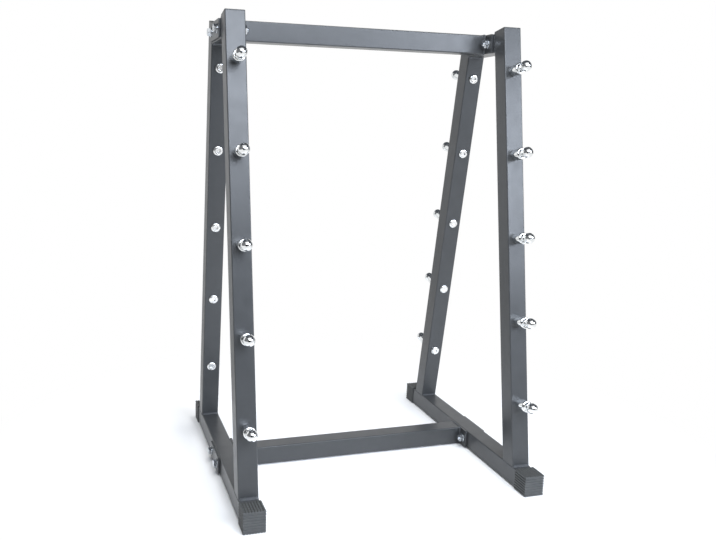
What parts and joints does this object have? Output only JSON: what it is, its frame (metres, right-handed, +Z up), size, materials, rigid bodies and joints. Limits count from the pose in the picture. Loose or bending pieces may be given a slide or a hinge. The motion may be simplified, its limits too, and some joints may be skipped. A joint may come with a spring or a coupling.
{
  "type": "barbell storage rack",
  "caption": "Free-standing A-frame rack of square steel tube with tilted round pegs on its uprights that hold fixed barbells at the front and rear",
  "frame": {"origin": "on the floor, in the middle of the rack's footprint", "axes": "+X to the right as seen from the front, +Y to the rear, +Z up"},
  "size_m": [0.8232, 0.74, 1.2],
  "materials": {
    "frame_paint": "slate grey satin powder coat",
    "foot_plastic": "grey moulded plastic, ribbed",
    "plug_plastic": "dark moulded plastic",
    "peg_chrome": "bright chrome plate",
    "bolt_zinc": "bright zinc plate"
  },
  "bodies": {
    "root": {"left_base_rail": "frame_paint", "left_top_spacer": "frame_paint", "left_front_upright": "frame_paint", "left_front_top_plug": "plug_plastic", "left_front_foot_cap": "foot_plastic", "left_front_peg_1": "peg_chrome", "left_front_peg_2": "peg_chrome", "left_front_peg_3": "peg_chrome", "left_front_peg_4": "peg_chrome", "left_front_peg_5": "peg_chrome", "left_rear_upright": "frame_paint", "left_rear_top_plug": "plug_plastic", "left_rear_foot_cap": "foot_plastic", "left_rear_peg_1": "peg_chrome", "left_rear_peg_2": "peg_chrome", "left_rear_peg_3": "peg_chrome", "left_rear_peg_4": "peg_chrome", "left_rear_peg_5": "peg_chrome", "left_top_inner_plate": "frame_paint", "left_top_outer_plate": "frame_paint", "left_top_front_bolt": "bolt_zinc", "left_top_rear_bolt": "bolt_zinc", "left_bottom_inner_plate": "frame_paint", "left_bottom_outer_plate": "frame_paint", "left_bottom_front_bolt": "bolt_zinc", "left_bottom_rear_bolt": "bolt_zinc", "right_base_rail": "frame_paint", "right_top_spacer": "frame_paint", "right_front_upright": "frame_paint", "right_front_top_plug": "plug_plastic", "right_front_foot_cap": "foot_plastic", "right_front_peg_1": "peg_chrome", "right_front_peg_2": "peg_chrome", "right_front_peg_3": "peg_chrome", "right_front_peg_4": "peg_chrome", "right_front_peg_5": "peg_chrome", "right_rear_upright": "frame_paint", "right_rear_top_plug": "plug_plastic", "right_rear_foot_cap": "foot_plastic", "right_rear_peg_1": "peg_chrome", "right_rear_peg_2": "peg_chrome", "right_rear_peg_3": "peg_chrome", "right_rear_peg_4": "peg_chrome", "right_rear_peg_5": "peg_chrome", "right_top_inner_plate": "frame_paint", "right_top_outer_plate": "frame_paint", "right_top_front_bolt": "bolt_zinc", "right_top_rear_bolt": "bolt_zinc", "right_bottom_inner_plate": "frame_paint", "right_bottom_outer_plate": "frame_paint", "right_bottom_front_bolt": "bolt_zinc", "right_bottom_rear_bolt": "bolt_zinc", "top_crossbar": "frame_paint", "bottom_crossbar": "frame_paint"}
  },
  "joints": []
}
